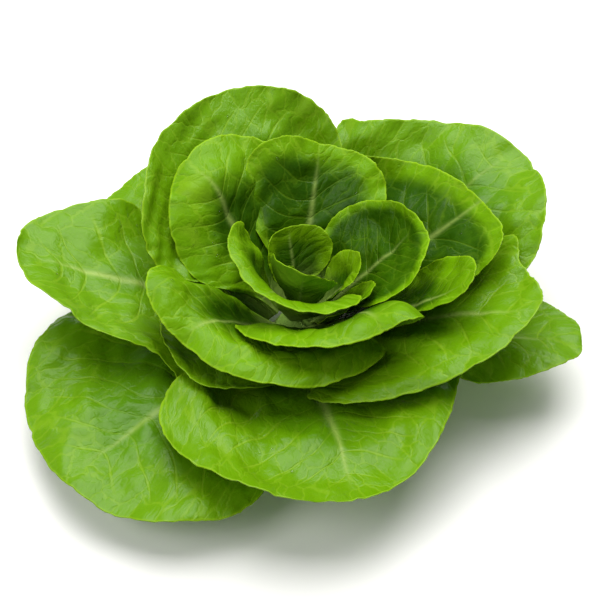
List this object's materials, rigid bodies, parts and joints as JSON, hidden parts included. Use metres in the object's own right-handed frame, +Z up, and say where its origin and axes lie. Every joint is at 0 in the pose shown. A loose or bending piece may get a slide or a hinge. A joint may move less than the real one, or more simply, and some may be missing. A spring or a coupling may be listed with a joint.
{
  "type": "butterhead lettuce",
  "caption": "Open butterhead lettuce head: soft round green leaves nested round a short cut stem, resting on the cut.",
  "frame": {"origin": "centre of the stem's cut face, on the surface that the head rests on", "axes": "+Z up out of the heart, -Y towards the front of the picture, +X to its right"},
  "size_m": [0.2783, 0.2389, 0.0877],
  "materials": {
    "stem": "pale cut stem, damp and matte, stands in for plant tissue",
    "heart_blade": "tender yellow-green leaf, satin, stands in for plant tissue",
    "blade": "green leaf, satin with paler veins, stands in for plant tissue"
  },
  "bodies": {
    "root": {"stem": "stem", "heart_leaf_1": "heart_blade", "heart_leaf_2": "heart_blade", "heart_leaf_3": "heart_blade", "heart_leaf_4": "heart_blade", "cup_leaf_1": "blade", "cup_leaf_2": "blade", "cup_leaf_3": "blade", "cup_leaf_4": "blade", "inner_leaf_1": "blade", "inner_leaf_2": "blade", "inner_leaf_3": "blade", "inner_leaf_4": "blade", "inner_leaf_5": "blade", "outer_leaf_1": "blade", "outer_leaf_2": "blade", "outer_leaf_3": "blade", "outer_leaf_4": "blade", "outer_leaf_5": "blade", "outer_leaf_6": "blade", "outer_leaf_7": "blade", "outer_leaf_8": "blade", "outer_leaf_9": "blade", "outer_leaf_10": "blade"}
  },
  "joints": []
}
